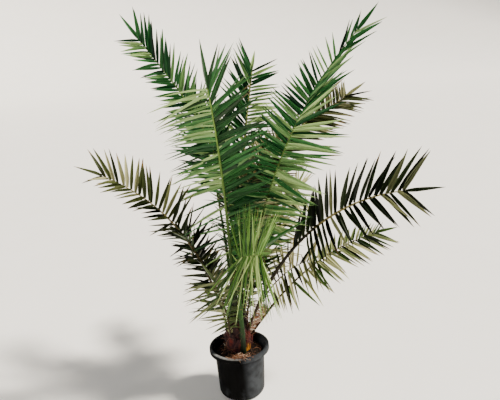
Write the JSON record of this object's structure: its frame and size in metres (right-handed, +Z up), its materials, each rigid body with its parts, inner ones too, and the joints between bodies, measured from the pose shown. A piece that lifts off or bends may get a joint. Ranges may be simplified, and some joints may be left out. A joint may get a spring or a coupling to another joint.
{
  "type": "potted canary island date palm",
  "caption": "Young feather palm with long arching fronds of narrow folded leaflets on a stubby trunk of old leaf bases, growing in a round black plastic nursery pot.",
  "frame": {"origin": "middle of the pot's flat underside, on the pot's axis", "axes": "+Z up along the pot's axis, +X to the right and +Y away from the viewer in the picture"},
  "size_m": [1.4697, 1.2659, 1.7771],
  "materials": {
    "pot_plastic": "moulded, satin, dusty and scuffed",
    "potting_soil": "damp crumbly potting soil with straw bits",
    "leaf_bases": "fibrous maroon brown leaf bases",
    "leaf_green": "waxy mid green leaflets",
    "leaf_dark": "waxy dark green leaflets",
    "leaf_olive": "older olive leaflets with brown tips",
    "leaf_dry": "dry tan leaflets"
  },
  "bodies": {
    "root": {"pot": "pot_plastic", "soil": "potting_soil", "trunk": "leaf_bases", "frond_front_tall": "leaf_green", "frond_right_high": "leaf_green", "frond_left_high": "leaf_green", "frond_middle_tall": "leaf_green", "frond_front_bow": "leaf_green", "frond_back_tall": "leaf_green", "frond_back_right": "leaf_green", "frond_right_low": "leaf_dark", "frond_back_low": "leaf_dark", "frond_back_left": "leaf_dark", "frond_left_low": "leaf_olive", "frond_right_under": "leaf_olive", "frond_right_back": "leaf_olive", "frond_right_mid": "leaf_olive", "frond_left_under": "leaf_olive", "frond_right_dry": "leaf_dry"}
  },
  "joints": []
}
